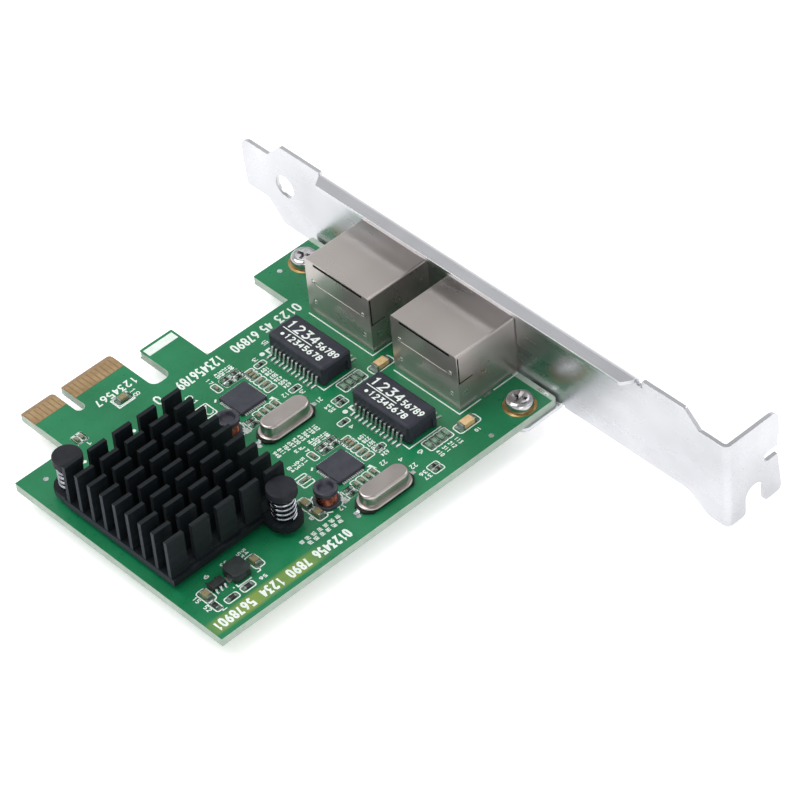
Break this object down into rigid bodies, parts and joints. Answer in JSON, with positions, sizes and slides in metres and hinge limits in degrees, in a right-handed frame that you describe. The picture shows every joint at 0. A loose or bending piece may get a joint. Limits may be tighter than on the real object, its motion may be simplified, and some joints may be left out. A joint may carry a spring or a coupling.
{
  "type": "network interface card",
  "caption": "Dual-port network interface card with a full-height slot bracket, black pin-fin heat sink and card-edge connector.",
  "frame": {"origin": "centre line of the key notch, at the outer edge of the edge connector, on the board's solder face", "axes": "+X from the slot along the bracket towards its screw tab, +Y out through the bracket, +Z from the solder face towards the component side"},
  "size_m": [0.1201, 0.0904, 0.0215],
  "materials": {
    "board": "glossy green lacquer over glass-fibre laminate",
    "gold": "gold plated",
    "bracket_steel": "bright zinc plated sheet steel",
    "screw_steel": "bright plated steel",
    "black_aluminium": "black anodised",
    "black_nylon": "black nylon",
    "spring_steel": "bright spring wire",
    "chip_black": "black moulding compound",
    "pad_grey": "soft grey pad",
    "chip_grey": "dark moulding compound",
    "tin": "tinned",
    "transformer_case": "dark moulded case",
    "can_metal": "satin nickel",
    "insulator": "dark plastic",
    "shield_metal": "nickel plated sheet",
    "housing_black": "black moulded plastic",
    "lens": "clear light guide",
    "ferrite": "dark ferrite",
    "copper": "enamelled copper",
    "inductor_case": "near-black moulded inductor",
    "tan_ceramic": "tan ceramic",
    "brown_ceramic": "brown ceramic",
    "resistor_black": "black glazed top",
    "array_grey": "grey-green glazed ceramic"
  },
  "bodies": {
    "root": {"circuit_board": "board", "edge_contacts": "gold", "screw_pads": "gold", "bracket": "bracket_steel", "bracket_screws": "screw_steel", "heat_sink": "black_aluminium", "push_pins": "black_nylon", "pin_springs": "spring_steel", "main_chip": "chip_black", "thermal_pad": "pad_grey", "controller_1": "chip_grey", "controller_2": "chip_grey", "controller_terminals": "tin", "transformer_1": "transformer_case", "transformer_2": "transformer_case", "transformer_leads": "tin", "crystal_cans": "can_metal", "crystal_bases": "can_metal", "crystal_insulators": "insulator", "crystal_leads": "tin", "jack_1_shield": "shield_metal", "jack_2_shield": "shield_metal", "jack_1_housing": "housing_black", "jack_2_housing": "housing_black", "jack_wires": "gold", "jack_lenses": "lens", "solder_joints": "tin", "choke_cores": "ferrite", "choke_windings": "copper", "power_inductor": "inductor_case", "inductor_feet": "tin", "regulator": "chip_black", "regulator_leads": "tin", "large_capacitors": "tan_ceramic", "large_capacitor_ends": "tin", "small_capacitors": "brown_ceramic", "small_capacitor_ends": "tin", "resistors": "resistor_black", "resistor_ends": "tin", "port_resistors": "array_grey", "port_resistor_ends": "tin"}
  },
  "joints": []
}
